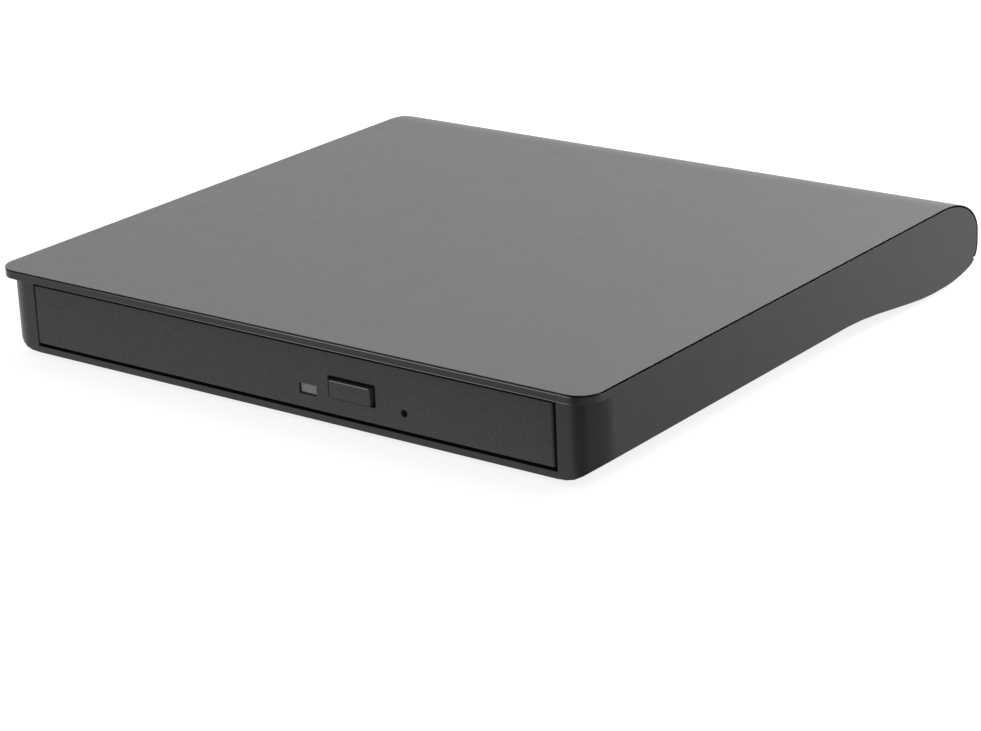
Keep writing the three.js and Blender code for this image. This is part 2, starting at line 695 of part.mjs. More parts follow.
function traverseFrame() {
  const outline = polygon([
    [-17, -17.5],
    [63.5, -17.5],
    [67.5, -13.5],
    [67.5, 13.5],
    [60.5, 20.5],
    [14, 20.5],
    [14, 22],
    [-17, 22],
  ]);
  const ears = Object.values(DAMPER_SPOTS).map(([r, a]) => cylinder(4.2, EAR_HEIGHT, r, a, 24));
  const earHoles = Object.values(DAMPER_SPOTS).map(([r, a]) => cylinder(2.2, [0, 20], r, a, 20));
  const motorHole = cylinder(13.2, [0, 20], 0, 0, 48);
  const sledSlot = box([16, 64.4], [-14.4, 11.4], [0, 20]);
  const screwTrench = box([16, 59.8], [11.3, 19], [0, 20]);
  const screwPass = box([12, 16.2], [14.4, 19], [0, 20]);
  const motorPocket = box([-7.4, 12.3], [13, 20.4], [0, 20]);
  const rodHoles = [ROD.main, ROD.side].map((a) =>
    rodBetween(ROD.radius + CLEARANCE, [ROD.start - CLEARANCE, ROD.end + CLEARANCE], a, 12),
  );
  const screwBearing = rodBetween(1, [59, 62.4], SCREW.a, 12);
  return cut(
    join(plate(outline, FRAME_HEIGHT), ...ears),
    ...earHoles,
    motorHole,
    sledSlot,
    screwTrench,
    screwPass,
    motorPocket,
    ...rodHoles,
    screwBearing,
  );
}

function damper() {
  const profile = [[0.8, 4.6], [3.2, 4.6], [3.2, 5.3], [1.9, 5.3], [1.9, 7.9], [3.2, 7.9], [3.2, 8.9], [0.8, 8.9]];
  return turned(profile, 20);
}

// A shaft whose surface rises and falls along a helix.
function leadScrew() {
  const rows = 4;
  const length = SCREW.end - SCREW.start;
  const count = Math.ceil((length / SCREW.pitch) * rows);
  const points = [new THREE.Vector2(0, 0)];
  for (let i = 0; i <= count; i++) points.push(new THREE.Vector2(1, (length * i) / count));
  points.push(new THREE.Vector2(0, length));
  const shaft = new THREE.LatheGeometry(points, 9);
  const at = shaft.attributes.position;
  for (let i = 0; i < at.count; i++) {
    const [x, y, z] = [at.getX(i), at.getY(i), at.getZ(i)];
    const wave = 0.5 + 0.5 * Math.cos((2 * Math.PI * y) / SCREW.pitch - Math.atan2(z, x));
    const radius = SCREW.root + (SCREW.crest - SCREW.root) * wave;
    if (x * x + z * z > 0.01) at.setXYZ(i, x * radius, y, z * radius);
  }
  const thread = solid(shaft.rotateZ(-Math.PI / 2).translate(SCREW.start, SCREW.a, ROD.z));
  return join(thread, rodBetween(0.65, [SCREW.end - 0.5, 62.1], SCREW.a, 10));
}

function sled() {
  const [low, high] = [SLED_START - 6.5, SLED_START + 6];
  const body = box([low, high], [-14, 11], [4.8, 8.3]);
  const arm = box([SLED_START - 2.6, SLED_START + 1.3], [10, 14.9], [5.8, 7.4]);
  const pocket = box([SLED_START - 4.5, SLED_START + 4.5], [-5, 5], [6.8, 20]);
  const rods = [ROD.main, ROD.side].map((a) => rodBetween(ROD.radius + CLEARANCE, [low - 1, high + 1], a, 12));
  return cut(join(body, arm), pocket, ...rods);
}

function lensHolder() {
  const body = box([SLED_START - 4, SLED_START + 4], both(4.5), [7.4, 9.7]);
  return cut(body, cylinder(1.6, [0, 20], SLED_START, 0, 20), cylinder(2.6, [9, 20], SLED_START, 0, 24));
}

function objectiveLens() {
  const profile = [[0, 9.15], [2.2, 9.15], [2.2, 9.5], [1.8, 9.8], [1, 10.02], [0, 10.1]];
  return turned(profile, 20).translate(SLED_START, 0, 0);
}

function pickupShield() {
  const sheet = box([-16.6, 57.1], both(15.1), [9.5, 9.9]);
  return cut(sheet, cylinder(13.4, [0, 20], 0, 0, 48), box([17.2, 60], both(5.4), [0, 20]));
}

function spindleMotor() {
  return turned([[0, 4.6], [12.4, 4.6], [12.4, 5.6], [9.5, 6.4], [1.5, 6.4], [1.5, 9.6], [0, 9.6]], 32);
}

// Rotor, disc seat and centring hub in one, with a slot for each disc claw.
function turntable() {
  const profile = [
    [1.9, 6.9],
    [11.8, 6.9],
    [11.8, 9],
    [TURNTABLE_RADIUS, 9.4],
    [TURNTABLE_RADIUS, DISC_SEAT],
    [HUB_RADIUS, DISC_SEAT],
    [HUB_RADIUS, HUB_TOP - 0.8],
    [HUB_RADIUS - 0.8, HUB_TOP],
    [1.9, HUB_TOP],
  ];
  const slots = [0, 1, 2].map((i) =>
    box([3.4, HUB_RADIUS + 1], both(1.5), [DISC_SEAT + 0.1, HUB_TOP + 1]).rotate([0, 0, 120 * i]),
  );
  return cut(turned(profile, 40), ...slots);
}

function discClaw(i) {
  const outline = polygon([
    [4.3, 11.4],
    [7.2, 11.4],
    [7.7, 12],
    [7.2, 12.6],
    [4.3, 12.6],
  ]);
  return acrossY(outline, both(1.2)).rotate([0, 0, 120 * i]);
}

function mechanism() {
  const parts = [
    piece("traverse_frame", traverseFrame(), "blackPlastic"),
    piece("guide_rod_main", rodBetween(ROD.radius, [ROD.start, ROD.end], ROD.main), "polishedSteel"),
    piece("guide_rod_side", rodBetween(ROD.radius, [ROD.start, ROD.end], ROD.side), "polishedSteel"),
    piece("lead_screw", leadScrew(), "polishedSteel"),
    piece("sled_motor", plate(roundedPlan([-7, 11.9], [13.9, 19.9], 1), [4.4, 8.8], 3), "sheetSteel"),
    piece("pickup_sled", sled(), "sheetSteel"),
    piece("lens_holder", lensHolder(), "blackPlastic"),
    piece("objective_lens", objectiveLens(), "lens"),
    piece("pickup_shield", pickupShield(), "sheetSteel"),
    piece("spindle_motor", spindleMotor(), "sheetSteel"),
    piece("turntable", turntable(), "blackPlastic"),
  ];
  for (const [spot, [r, a]] of Object.entries(DAMPER_SPOTS)) {
    const grommet = piece(`damper_${spot}`, damper(), "rubber");
    grommet.position.set(r, a, 0);
    parts.push(grommet);
  }
  for (const i of [0, 1, 2]) parts.push(piece(`disc_claw_${i + 1}`, discClaw(i), "whitePlastic"));
  return parts;
}

// ---- Assembly ----

const device = new THREE.Group();
device.position.set(0, (LIP_OVERHANG - REAR_REACH) / 2, FOOT_DROP);
device.add(...enclosure(), ...chassis(), ...trayParts());

const mechanismGroup = new THREE.Group();
mechanismGroup.position.set(0, HUB_Y, 0);
mechanismGroup.rotation.z = SLED_ANGLE;
mechanismGroup.add(...mechanism());
device.add(mechanismGroup);

const drive = new THREE.Group();
drive.add(device);

export default drive;
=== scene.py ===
"""External slim optical drive: finished surfaces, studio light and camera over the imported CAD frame.

Metres, +Z up, +X to the right along the front, -Y towards the tray front.
"""
import json
import math

import bmesh
import bpy
from mathutils import Matrix, Vector


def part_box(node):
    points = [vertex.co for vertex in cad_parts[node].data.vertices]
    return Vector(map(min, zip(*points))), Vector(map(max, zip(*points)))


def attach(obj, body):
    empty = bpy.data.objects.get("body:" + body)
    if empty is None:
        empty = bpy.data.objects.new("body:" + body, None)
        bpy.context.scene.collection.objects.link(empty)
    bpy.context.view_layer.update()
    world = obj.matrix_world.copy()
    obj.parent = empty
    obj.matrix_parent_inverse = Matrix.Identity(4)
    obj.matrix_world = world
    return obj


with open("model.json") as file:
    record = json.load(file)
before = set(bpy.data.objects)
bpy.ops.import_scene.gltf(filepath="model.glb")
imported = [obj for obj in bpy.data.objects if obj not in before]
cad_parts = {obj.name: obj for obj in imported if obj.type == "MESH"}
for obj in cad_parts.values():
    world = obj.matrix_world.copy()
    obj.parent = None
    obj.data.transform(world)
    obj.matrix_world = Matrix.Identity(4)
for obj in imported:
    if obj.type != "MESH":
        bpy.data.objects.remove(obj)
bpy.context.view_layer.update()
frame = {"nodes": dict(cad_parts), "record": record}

MM = 0.001
NODES = frame["nodes"]
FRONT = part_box("upper_case")[0].y
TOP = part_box("top_plate")[1].z
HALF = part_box("top_plate")[1].x

# The camera stands to the right of the front, above the case, and leans a little.
AIM = Vector((33.84, -47.58, 9.76)) * MM
AZIMUTH = math.radians(37.744)
ELEVATION = math.radians(20.112)
DISTANCE = 0.5391
ROLL = math.radians(-2.443)
LENS = 105.85

ROOM_BEHIND, ROOM_IN_FRONT = 0.8, 0.4

# From this corner of the case, a dark card fans out over the table and a bright one lies along the front.
FAN_CORNER = (0.0705, -0.068, 0)
DARK_HEADING = math.radians(9)
DARK_SHARE = 0.5
BRIGHT_HEADING = math.radians(-62)
BRIGHT_SHARE = 1.5

# The table that the object mirrors brightens from TABLE_NEAR to TABLE_FAR between these two distances.
TABLE_NEAR, TABLE_FAR = 0.5, 0.88
TABLE_START, TABLE_END = -0.1, 0.13
PAPER_GLOW = 0.84
PAPER_HALF = 4.0


# ---- Camera, light and floor ----


def make_camera():
    away = Vector((
        math.sin(AZIMUTH) * math.cos(ELEVATION),
        -math.cos(AZIMUTH) * math.cos(ELEVATION),
        math.sin(ELEVATION),
    ))
    camera = bpy.data.objects.new("camera", bpy.data.cameras.new("camera"))
    camera.data.lens = LENS
    camera.data.clip_start = 0.01
    turn = (-away).to_track_quat("-Z", "Y").to_matrix().to_4x4()
    lean = Matrix.Rotation(ROLL, 4, "Z")
    camera.matrix_world = Matrix.Translation(AIM + away * DISTANCE) @ turn @ lean
    bpy.context.scene.collection.objects.link(camera)
    bpy.context.scene.camera = camera


def softbox(name, position, size, power):
    """A rectangular light that faces the object."""
    light = bpy.data.lights.new(name, "AREA")
    light.shape = "RECTANGLE"
    light.size, light.size_y = size
    light.energy = power
    holder = bpy.data.objects.new(name, light)
    place = Vector(position)
    turn = (-place).to_track_quat("-Z", "Y").to_matrix().to_4x4()
    holder.matrix_world = Matrix.Translation(place) @ turn
    bpy.context.scene.collection.objects.link(holder)


def ramp_between(tree, value, start, end, low, high):
    """A smooth step of value from low, at start, to high, at end."""
    step = tree.nodes.new("ShaderNodeMapRange")
    step.interpolation_type = "SMOOTHSTEP"
    for socket, number in zip(("From Min", "From Max", "To Min", "To Max"), (start, end, low, high)):
        step.inputs[socket].default_value = number
    tree.links.new(value, step.inputs["Value"])
    return step.outputs["Result"]


def along(tree, vector, direction):
    """The part of vector that points along direction."""
    dot = tree.nodes.new("ShaderNodeVectorMath")
    dot.operation = "DOT_PRODUCT"
    dot.inputs[1].default_value = direction
    tree.links.new(vector, dot.inputs[0])
    return dot.outputs["Value"]


def multiplied(tree, first, second):
    product = tree.nodes.new("ShaderNodeMath")
    product.operation = "MULTIPLY"
    tree.links.new(first, product.inputs[0])
    tree.links.new(second, product.inputs[1])
    return product.outputs["Value"]


def make_world():
    """A pale room, dimmer in front, where the photographer stands, and brighter behind the object."""
    world = bpy.data.worlds.new("studio")
    world.use_nodes = True
    tree = world.node_tree
    background = tree.nodes["Background"]
    direction = tree.nodes.new("ShaderNodeTexCoord").outputs["Generated"]
    front = along(tree, direction, (math.sin(AZIMUTH), -math.cos(AZIMUTH), 0))
    strength = ramp_between(tree, front, -0.6, 0.9, ROOM_BEHIND, ROOM_IN_FRONT)
    tree.links.new(strength, background.inputs["Strength"])
    background.inputs["Color"].default_value = (1, 1, 1, 1)
    bpy.context.scene.world = world


def fan(tree, place, heading, start, end, outside, inside):
    """A factor over the table: inside within a fan from FAN_CORNER towards heading, outside beyond it."""
    offset = tree.nodes.new("ShaderNodeVectorMath")
    offset.operation = "SUBTRACT"
    offset.inputs[1].default_value = FAN_CORNER
    tree.links.new(place, offset.inputs[0])
    direction = tree.nodes.new("ShaderNodeVectorMath")
    direction.operation = "NORMALIZE"
    tree.links.new(offset.outputs["Vector"], direction.inputs[0])
    towards = along(tree, direction.outputs["Vector"], (math.sin(heading), -math.cos(heading), 0))
    return ramp_between(tree, towards, start, end, outside, inside)


def add_paper(tree):
    """Sets the Principled shader to plain white paper that hardly shows a shadow."""
    shader = tree.nodes["Principled BSDF"]
    shader.inputs["Base Color"].default_value = (0.3, 0.3, 0.3, 1)
    shader.inputs["Roughness"].default_value = 0.9
    shader.inputs["Specular IOR Level"].default_value = 0.0
    shader.inputs["Emission Color"].default_value = (1, 1, 1, 1)
    shader.inputs["Emission Strength"].default_value = PAPER_GLOW
    return shader.outputs[0]


def add_table(tree):
    """A grey table that brightens to the rear, with a dark and a bright card on it."""
    table = tree.nodes.new("ShaderNodeEmission")
    place = tree.nodes.new("ShaderNodeTexCoord").outputs["Object"]
    depth = along(tree, place, (0, 1, 0))
    level = ramp_between(tree, depth, TABLE_START, TABLE_END, TABLE_NEAR, TABLE_FAR)
    dark = fan(tree, place, DARK_HEADING, 0.84, 0.97, 1.0, DARK_SHARE)
    bright = fan(tree, place, BRIGHT_HEADING, 0.5, 0.85, 1.0, BRIGHT_SHARE)
    tree.links.new(multiplied(tree, level, multiplied(tree, dark, bright)), table.inputs["Strength"])
    return table.outputs[0]


def mixed(tree, factor, first, second):
    mix = tree.nodes.new("ShaderNodeMixShader")
    for output, socket in zip((factor, first, second), mix.inputs):
        tree.links.new(output, socket)
    return mix.outputs[0]


def floor_paper():
    """White paper where the camera sees it, the table in every reflection, and clear from below."""
    paper = bpy.data.materials.new("floor_paper")
    paper.use_nodes = True
    tree = paper.node_tree
    seen = tree.nodes.new("ShaderNodeLightPath").outputs["Is Camera Ray"]
    underside = tree.nodes.new("ShaderNodeNewGeometry").outputs["Backfacing"]
    clear = tree.nodes.new("ShaderNodeBsdfTransparent").outputs[0]
    above = mixed(tree, seen, add_table(tree), add_paper(tree))
    surface = mixed(tree, underside, above, clear)
    tree.links.new(surface, tree.nodes["Material Output"].inputs["Surface"])
    return paper


def make_floor():
    mesh = bpy.data.meshes.new("floor")
    corners = [(PAPER_HALF * x, PAPER_HALF * y, 0) for x, y in ((-1, -1), (1, -1), (1, 1), (-1, 1))]
    mesh.from_pydata(corners, [], [(0, 1, 2, 3)])
    mesh.materials.append(floor_paper())
    floor = bpy.data.objects.new("floor", mesh)
    bpy.context.scene.collection.objects.link(floor)


# ---- Materials ----


class Look:
    """A Principled material whose colour, roughness and bump come from noise in object space."""

    def __init__(self, name, metallic=0.0, **sockets):
        self.material = bpy.data.materials.new(name)
        self.material.use_nodes = True
        self.tree = self.material.node_tree
        self.shader = self.tree.nodes["Principled BSDF"]
        self.shader.inputs["Metallic"].default_value = metallic
        for socket, value in sockets.items():
            self.shader.inputs[socket.replace("_", " ")].default_value = value
        self.place = self.add("ShaderNodeTexCoord").outputs["Object"]
        self.normal = None

    def add(self, kind, **settings):
        node = self.tree.nodes.new(kind)
        for key, value in settings.items():
            setattr(node, key, value)
        return node

    def link(self, output, socket):
        self.tree.links.new(output, socket)

    def noise(self, size, detail=2.0, stretch=(1, 1, 1)):
        """Noise between 0 and 1 with features about size metres across."""
        mapping = self.add("ShaderNodeMapping")
        mapping.inputs["Scale"].default_value = stretch
        self.link(self.place, mapping.inputs["Vector"])
        node = self.add("ShaderNodeTexNoise")
        node.inputs["Scale"].default_value = 1 / size
        node.inputs["Detail"].default_value = detail
        self.link(mapping.outputs["Vector"], node.inputs["Vector"])
        return node.outputs["Fac"]

    def cells(self, size):
        node = self.add("ShaderNodeTexVoronoi")
        node.inputs["Scale"].default_value = 1 / size
        self.link(self.place, node.inputs["Vector"])
        return node.outputs["Distance"]

    def axis(self, vector, letter):
        parts = self.add("ShaderNodeSeparateXYZ")
        self.link(vector, parts.inputs["Vector"])
        return parts.outputs[letter]

    def spread(self, value, low, high, start=0.3, end=0.7):
        """Maps value from start and end, the usual reach of noise, to low and high."""
        node = self.add("ShaderNodeMapRange")
        for socket, number in zip(("From Min", "From Max", "To Min", "To Max"), (start, end, low, high)):
            node.inputs[socket].default_value = number
        self.link(value, node.inputs["Value"])
        return node.outputs["Result"]

    def compute(self, operation, first, second=None):
        node = self.add("ShaderNodeMath", operation=operation)
        self.link(first, node.inputs[0])
        if isinstance(second, float):
            node.inputs[1].default_value = second
        elif second is not None:
            self.link(second, node.inputs[1])
        return node.outputs["Value"]

    def colour(self, value, dark, light):
        mix = self.add("ShaderNodeMix", data_type="RGBA")
        mix.inputs["A"].default_value = (*dark, 1)
        mix.inputs["B"].default_value = (*light, 1)
        self.link(value, mix.inputs["Factor"])
        self.link(mix.outputs["Result"], self.shader.inputs["Base Color"])
        return self

    def rough(self, value, low, high):
        self.link(self.spread(value, low, high), self.shader.inputs["Roughness"])
        return self

    def bump(self, value, height):
        node = self.add("ShaderNodeBump")
        node.inputs["Strength"].default_value = 1.0
        node.inputs["Distance"].default_value = height
        self.link(value, node.inputs["Height"])
        if self.normal:
            self.link(self.normal, node.inputs["Normal"])
        self.normal = node.outputs["Normal"]
        self.link(self.normal, self.shader.inputs["Normal"])
        return self


def grey(level):
    return (level, level, level * 1.01)


def satin_paint():
    """Satin paint with a fine mottle; its edges at the front and the sides are painted dark, a painted
    shade for the gap under the plate's edge.
    """
    look = Look("satin_top")
    mottle = look.spread(look.noise(9 * MM, 3), 0.92, 1.0)
    normal = look.add("ShaderNodeTexCoord").outputs["Normal"]
    sideways = look.compute("ABSOLUTE", look.axis(normal, "X"))
    forwards = look.compute("MULTIPLY", look.axis(normal, "Y"), -1.0)
    # painted shade: faces turned to the front or the sides go black, standing in for the shade in the gap
    # under the plate's edge
    face = look.spread(look.compute("MAXIMUM", sideways, forwards), 1, 0, 0.55, 0.8)
    look.colour(look.compute("MULTIPLY", mottle, face), grey(0.004), grey(0.072))
    look.rough(look.noise(2.5 * MM, 2), 0.37, 0.41)
    return look.bump(look.noise(0.22 * MM, 1), 0.004 * MM).material


# Above this height the case is painted black, a painted shade for the dark gap under the edge of the top
# plate.
GAP_START = TOP - 0.6 * MM
GAP_BLEND = 0.04 * MM


def moulded_side():
    look = Look("moulded_side")
    # painted shade: full colour below GAP_START, black above it, for the shade in the gap under the plate
    painted_gap_shade = look.spread(look.axis(look.place, "Z"), 1, 0, GAP_START, GAP_START + GAP_BLEND)
    mottle = look.spread(look.noise(6 * MM, 3), 0.85, 1)
    look.colour(look.compute("MULTIPLY", mottle, painted_gap_shade), grey(0), grey(0.0215))
    look.rough(look.noise(3 * MM, 2), 0.24, 0.3)
    return look.bump(look.noise(0.3 * MM, 1), 0.003 * MM).material


def grained_bezel():
    look = Look("grained_bezel")
    look.colour(look.spread(look.noise(0.35 * MM, 2), 0, 1), grey(0.035), grey(0.05))
    look.rough(look.noise(0.5 * MM, 2), 0.5, 0.66)
    look.bump(look.noise(0.28 * MM, 2), 0.02 * MM)
    return look.bump(look.cells(0.45 * MM), 0.006 * MM).material


def painted_highlight_edge():
    """The rounded edges of the moulding, painted far paler than the case as a painted highlight, and paler
    still towards the right, where they catch more light.
    """
    look = Look("painted_highlight_edge")
    # painted highlight: a ramp along X, palest at the right
    painted_highlight_ramp = look.spread(look.axis(look.place, "X"), 0.1, 1, -55 * MM, 5 * MM)
    grain = look.spread(look.noise(1.5 * MM, 2), 0.85, 1)
    look.colour(look.compute("MULTIPLY", painted_highlight_ramp, grain), grey(0.02), grey(0.3))
    look.rough(look.noise(0.8 * MM, 2), 0.28, 0.36)
    return look.bump(look.noise(0.3 * MM, 1), 0.002 * MM).material


def plastic(name, level, low, high, grain=0.25, height=0.006):
    look = Look(name)
    look.colour(look.spread(look.noise(3 * MM, 3), 0, 1), grey(level * 0.92), grey(level * 1.08))
    look.rough(look.noise(1.2 * MM, 2), low, high)
    return look.bump(look.noise(grain * MM, 2), height * MM).material


def rolled_steel(name, level, low, high):
    """Steel with fine rolling streaks along X."""
    look = Look(name, metallic=1.0)
    squeeze = (1, 12, 1)
    streaks = look.noise(1.5 * MM, 3, squeeze)
    look.colour(look.spread(streaks, 0, 1), grey(level * 0.9), grey(level * 1.05))
    look.rough(look.noise(0.8 * MM, 3, squeeze), low, high)
    return look.bump(streaks, 0.002 * MM).material


def circuit_board():
    look = Look("circuit_board")
    mask = look.spread(look.cells(1.6 * MM), 0, 1, 0.1, 0.6)
    look.colour(mask, (0.006, 0.055, 0.02), (0.012, 0.12, 0.04))
    look.rough(look.noise(1 * MM, 2), 0.28, 0.42)
    return look.bump(look.cells(0.9 * MM), 0.01 * MM).material


def smoky_lens():
    look = Look("smoky_lens", Transmission_Weight=0.25, IOR=1.49)
    look.colour(look.spread(look.noise(0.7 * MM, 2), 0, 1), grey(0.27), grey(0.34))
    look.rough(look.noise(0.4 * MM, 1), 0.25, 0.4)
    return look.bump(look.noise(0.3 * MM, 1), 0.004 * MM).material


def optic_glass():
    look = Look("optic_glass", Transmission_Weight=0.8, IOR=1.6, Coat_Weight=1.0, Coat_Roughness=0.02)
    look.colour(look.spread(look.noise(0.8 * MM, 1), 0, 1), (0.3, 0.34, 0.6), (0.42, 0.46, 0.75))
    return look.rough(look.noise(0.5 * MM, 1), 0.02, 0.06).material


def machined_brass():
    look = Look("machined_brass", metallic=1.0)
    look.colour(look.spread(look.noise(0.6 * MM, 2), 0, 1), (0.5, 0.35, 0.13), (0.62, 0.45, 0.19))
    look.rough(look.noise(0.3 * MM, 2), 0.2, 0.34)
    return look.bump(look.noise(0.15 * MM, 2), 0.003 * MM).material


def ribbon_film():
    look = Look("ribbon_film")
    wave = look.add("ShaderNodeTexWave", bands_direction="X")
    wave.inputs["Scale"].default_value = 1 / (3.2 * MM)
    look.link(look.place, wave.inputs["Vector"])
    look.colour(wave.outputs["Fac"], (0.62, 0.6, 0.54), (0.35, 0.33, 0.27))
    look.rough(look.noise(1 * MM, 1), 0.35, 0.5)
    return look.bump(wave.outputs["Fac"], 0.02 * MM).material


LOOKS = {
    "satin_grey": satin_paint(),
    "dark_grey": moulded_side(),
    "painted_highlight_edge": painted_highlight_edge(),
    "bezel_grey": grained_bezel(),
    "clear_plastic": smoky_lens(),
    "optic_glass": optic_glass(),
    "black_plastic": plastic("black_plastic", 0.014, 0.4, 0.55),
    "white_plastic": plastic("white_plastic", 0.6, 0.3, 0.45, height=0.003),
    "circuit_board": circuit_board(),
    "chip_black": plastic("chip_black", 0.01, 0.5, 0.62),
    "sheet_steel": rolled_steel("sheet_steel", 0.5, 0.24, 0.4),
    "bright_steel": rolled_steel("bright_steel", 0.66, 0.1, 0.2),
    "brass": machined_brass(),
    "rubber": plastic("rubber", 0.02, 0.75, 0.9, grain=0.4, height=0.02),
    "ribbon": ribbon_film(),
    "blank_label": plastic("blank_label", 0.3, 0.3, 0.42, grain=0.5, height=0.002),
}

SLOT = {part["node"]: part["material_slot"] for part in frame["record"]["subparts"]}
SPECIAL = {"objective_lens": "optic_glass", "flex_cable": "ribbon"}


def finish_of(node):
    return LOOKS[SPECIAL.get(node, SLOT[node])]


# ---- CAD nodes that keep their shape ----

# Edge rounding in millimetres, by node; what is not listed gets the default.
EDGE_ROUNDING = {
    "upper_case": 0.02,
    "top_plate": 0.03,
    "bezel": 0.12,
    "eject_button": 0.2,
    "disc_tray": 0.1,
    "turntable": 0.12,
}
DEFAULT_ROUNDING = 0.06


def paint(node):
    shape = NODES[node]
    shape.data.materials.clear()
    shape.data.materials.append(finish_of(node))


def soften(node):
    """Joins the loose triangles of a CAD node into faces, rounds its edges and shades it smoothly."""
    shape = NODES[node]
    for name in ("custom_normal", "sharp_edge", "sharp_face"):
        if name in shape.data.attributes:
            shape.data.attributes.remove(shape.data.attributes[name])
    weld = shape.modifiers.new("joined", "WELD")
    weld.merge_threshold = 0.001 * MM
    flat = shape.modifiers.new("flat_faces", "DECIMATE")
    flat.decimate_type = "DISSOLVE"
    flat.angle_limit = math.radians(0.4)
    edge = shape.modifiers.new("edges", "BEVEL")
    edge.width = EDGE_ROUNDING.get(node, DEFAULT_ROUNDING) * MM
    edge.segments = 2
    edge.limit_method = "ANGLE"
    edge.angle_limit = math.radians(32)
    edge.use_clamp_overlap = False
    normals = shape.modifiers.new("shading", "WEIGHTED_NORMAL")
    normals.keep_sharp = False


def finish_nodes():
    for node in NODES:
        paint(node)
        soften(node)


# ---- Pieces finer than the CAD: edges, fasteners, contacts ----


def add_piece(name, mesh, look, body):
    piece = bpy.data.objects.new(name, mesh)
    piece.data.materials.append(LOOKS[look])
    for face in mesh.polygons:
        face.use_smooth = True
    bpy.context.scene.collection.objects.link(piece)
    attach(piece, body)
    return piece


def mesh_of(name, build):
    """A mesh that build makes in a bmesh, with its faces turned outwards."""
    shape = bmesh.new()
    build(shape)
    bmesh.ops.recalc_face_normals(shape, faces=shape.faces)
    mesh = bpy.data.meshes.new(name)
    shape.to_mesh(mesh)
    shape.free()
    return mesh


def loft(shape, rings, closed=False):
    """Joins rings of points into a tube and closes its ends; with closed, its last ring meets its first."""
    rows = [[shape.verts.new(point) for point in ring] for ring in rings]
    pairs = list(zip(rows, rows[1:] + rows[:1] if closed else rows[1:]))
    for near, far in pairs:
        for i in range(len(near)):
            j = (i + 1) % len(near)
            shape.faces.new((near[i], near[j], far[j], far[i]))
    if not closed:
        shape.faces.new(rows[0][::-1])
        shape.faces.new(rows[-1])


def ring_turns(sides):
    return [2 * math.pi * i / sides for i in range(sides)]


def bead(name, path, radius, sides=10):
    """A round bead along path, whose points are (place, outward direction, share of the radius)."""
    up = Vector((0, 0, 1))
    rings = []
    for place, outward, share in path:
        spokes = [math.cos(turn) * outward + math.sin(turn) * up for turn in ring_turns(sides)]
        rings.append([place + radius * share * spoke for spoke in spokes])
    return mesh_of(name, lambda shape: loft(shape, rings))


LIP_RADIUS = 4.6 * MM
LIP_DEPTH = 1.87 * MM
RIM_DROP = 0.33 * MM


def lip_path(inset, height):
    """Along the front of the lip and a little way round its corners, where the bead runs out."""
    run_out = [(math.radians(angle), share) for angle, share in ((26, 0.05), (20, 0.5), (12, 0.9), (0, 1))]
    corner = HALF - LIP_RADIUS
    path = []
    for side, stops in ((-1, run_out), (1, run_out[::-1])):
        for angle, share in stops:
            outward = Vector((side * math.sin(angle), -math.cos(angle), 0))
            centre = Vector((side * corner, FRONT + LIP_RADIUS, height))
            path.append((centre + outward * (LIP_RADIUS - inset), outward, share))
    return path


def make_lip_edges():
    # Beads along the lip's upper and lower edges in the pale edge material: a painted highlight along each
    # edge.
    for name, radius, height in (
        ("lip_edge_upper", 0.15 * MM, TOP - RIM_DROP - 0.14 * MM),
        ("lip_edge_lower", 0.1 * MM, TOP - LIP_DEPTH + 0.09 * MM),
    ):
        edge = bead(name, lip_path(radius * 0.8, height), radius)
        add_piece(name, edge, "painted_highlight_edge", "enclosure")


def front_face(node):
    """Lowest and highest corners of the foremost face of a CAD node."""
    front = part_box(node)[0].y
    corners = [vertex.co for vertex in NODES[node].data.vertices if vertex.co.y < front + 0.01 * MM]
    return tuple(Vector([pick(corner[i] for corner in corners) for i in range(3)]) for pick in (min, max))


def make_button_edge():
    # A bead along the button's top front edge in the pale edge material: a painted highlight.
    low, high = front_face("eject_button")
    radius = 0.11 * MM
    inset = 0.15 * MM
    stops = ((low.x + inset, 0.3), (low.x + 3 * inset, 1), (high.x - 3 * inset, 1), (high.x - inset, 0.3))
    place = Vector((0, low.y + radius * 0.7, high.z - radius * 0.7))
    path = [(place + Vector((x, 0, 0)), Vector((0, 1, 0)), share) for x, share in stops]
    add_piece("button_edge", bead("button_edge", path, radius), "painted_highlight_edge", "eject_button")


def turned(name, profile, centre, sides=64):
    """A solid turned from profile, whose points are (radius, height), about a vertical axis."""
    up = Vector((0, 0, 1))
    rings = []
    for turn in ring_turns(sides):
        spoke = Vector((math.cos(turn), math.sin(turn), 0))
        rings.append([centre + radius * spoke + height * up for radius, height in profile])

    def build(shape):
        loft(shape, rings, closed=True)
        bmesh.ops.remove_doubles(shape, verts=shape.verts, dist=0.001 * MM)

    return mesh_of(name, build)


SLED_ANGLE = math.radians(225)
HUB = sum(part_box("turntable"), Vector()) / 2
DISC_SEAT_DROP = 1.9 * MM


def on_mechanism(out, across, height):
    """A place on the sled's axes: out runs from the hub along its travel, across to the left of that."""
    outwards = Vector((math.cos(SLED_ANGLE), math.sin(SLED_ANGLE), 0))
    sideways = Vector((-math.sin(SLED_ANGLE), math.cos(SLED_ANGLE), 0))
    return Vector((HUB.x, HUB.y, height)) + outwards * out + sideways * across


def make_friction_ring():
    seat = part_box("turntable")[1].z - DISC_SEAT_DROP
    section = ((9, -0.02), (12.1, -0.02), (12.1, 0.05), (11.95, 0.1), (9.15, 0.1), (9, 0.05))
    profile = [(radius * MM, height * MM) for radius, height in section]
    ring = turned("friction_ring", profile, Vector((HUB.x, HUB.y, seat)), sides=96)
    add_piece("friction_ring", ring, "rubber", "turntable")


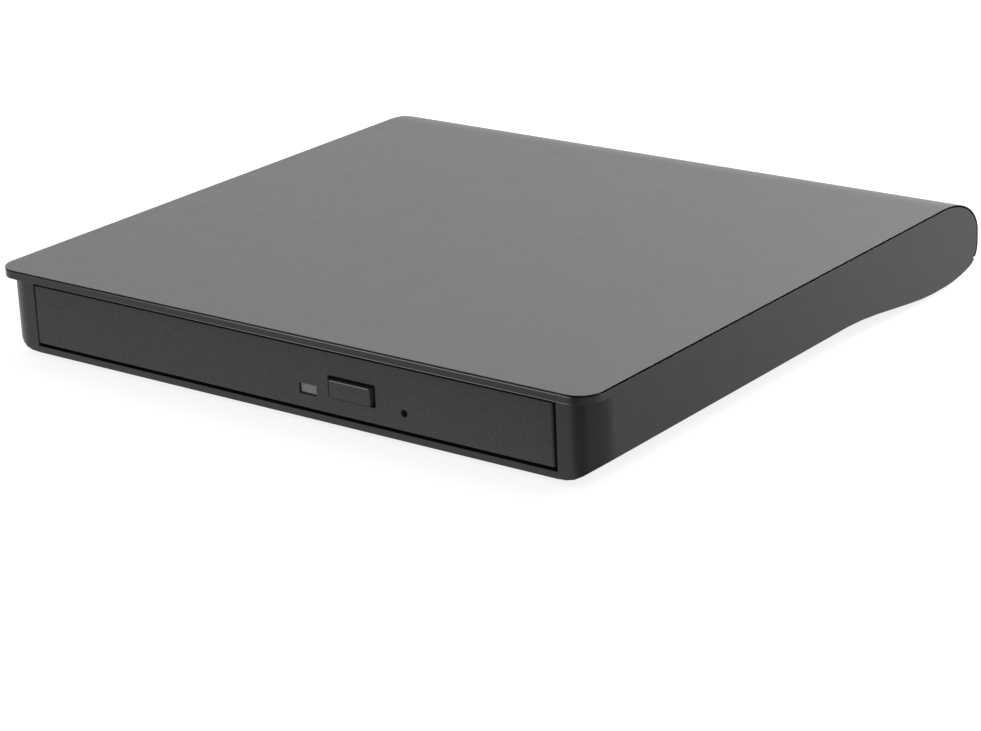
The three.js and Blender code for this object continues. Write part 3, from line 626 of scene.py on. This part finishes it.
def screw_head(name, centre):
    """A pan head with a cross recess."""
    section = (
        (0, 0), (1.4, 0), (1.4, 0.15), (1.25, 0.4), (1, 0.5), (0.8, 0.53),
        (0.62, 0.54), (0.45, 0.55), (0.3, 0.55), (0.15, 0.55), (0, 0.55),
    )
    arm_half_width, arm_reach, arm_depth = 0.17 * MM, 0.7 * MM, 0.28 * MM
    mesh = turned(name, [(radius * MM, height * MM) for radius, height in section], centre, sides=48)
    for vertex in mesh.vertices:
        offset = vertex.co - centre
        in_arm = min(abs(offset.x), abs(offset.y)) < arm_half_width
        if in_arm and offset.xy.length < arm_reach and offset.z > 0.3 * MM:
            vertex.co.z -= arm_depth
    return mesh


# Places on the sled's axes, in millimetres out from the hub and across
SHIELD_SCREWS = ((-14.3, -12.9), (-14.3, 12.9), (54.3, -12.4), (54.3, 12.4))


def make_shield_screws():
    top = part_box("pickup_shield")[1].z
    for i, (out, across) in enumerate(SHIELD_SCREWS, 1):
        head = screw_head(f"shield_screw_{i}", on_mechanism(out * MM, across * MM, top))
        add_piece(f"shield_screw_{i}", head, "bright_steel", "tray")


def bar(name, low, high, chamfer):
    """A bar between two corners with its long edges chamfered."""
    x0, x1, z0, z1 = low.x, high.x, low.z, high.z
    section = (
        (x0 + chamfer, z0), (x1 - chamfer, z0), (x1, z0 + chamfer), (x1, z1 - chamfer),
        (x1 - chamfer, z1), (x0 + chamfer, z1), (x0, z1 - chamfer), (x0, z0 + chamfer),
    )
    rings = [[Vector((x, y, z)) for x, z in section] for y in (low.y, high.y)]
    return mesh_of(name, lambda shape: loft(shape, rings))


def make_usb_contacts():
    low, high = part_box("usb_receptacle")
    tongue_top = low.z + 2.15 * MM
    pitch, half_width = 0.8 * MM, 0.2 * MM
    for i in range(5):
        x = (low.x + high.x) / 2 + (i - 2) * pitch
        start = Vector((x - half_width, high.y - 4.6 * MM, tongue_top - 0.03 * MM))
        end = Vector((x + half_width, high.y - 1.15 * MM, tongue_top + 0.06 * MM))
        contact = bar(f"usb_contact_{i + 1}", start, end, 0.03 * MM)
        add_piece(f"usb_contact_{i + 1}", contact, "brass", "enclosure")


def make_bezel_stop():
    """A slim stop that fills most of the gap between the case and the left end of the bezel."""
    low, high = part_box("bezel")
    start = Vector((low.x - 0.2 * MM, low.y + 0.12 * MM, low.z))
    end = Vector((low.x - 0.03 * MM, low.y + 1.4 * MM, high.z))
    add_piece("bezel_stop", bar("bezel_stop", start, end, 0.02 * MM), "dark_grey", "enclosure")


def make_blank_label():
    """A rating plate without any print, on the underside."""
    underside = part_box("lower_case")[0].z
    half_x, half_y, corner = 27 * MM, 16 * MM, 2 * MM
    outline = []
    for quarter, (x, y) in enumerate(((1, 1), (-1, 1), (-1, -1), (1, -1))):
        for step in range(9):
            turn = math.pi / 2 * (quarter + step / 8)
            centre = Vector((x * (half_x - corner), y * (half_y - corner), 0))
            outline.append(centre + corner * Vector((math.cos(turn), math.sin(turn), 0)))
    rings = []
    for height, share in ((0.04, 1), (-0.04, 1), (-0.06, 0.995), (-0.06, 0.94), (-0.05, 0.935)):
        level = Vector((0, 0, underside + height * MM))
        rings.append([level + point * share for point in outline])
    label = mesh_of("blank_label", lambda shape: loft(shape, rings))
    add_piece("blank_label", label, "blank_label", "enclosure")


def make_pieces():
    make_lip_edges()
    make_button_edge()
    make_friction_ring()
    make_shield_screws()
    make_usb_contacts()
    make_bezel_stop()
    make_blank_label()


make_camera()
make_world()
make_floor()
softbox("overhead", (-0.3, 0.5, 1.1), (1.4, 1.0), 6)
softbox("rear", (0.2, 0.42, 0.3), (0.5, 0.3), 4.5)
bpy.context.scene.view_settings.view_transform = "Standard"
finish_nodes()
make_pieces()
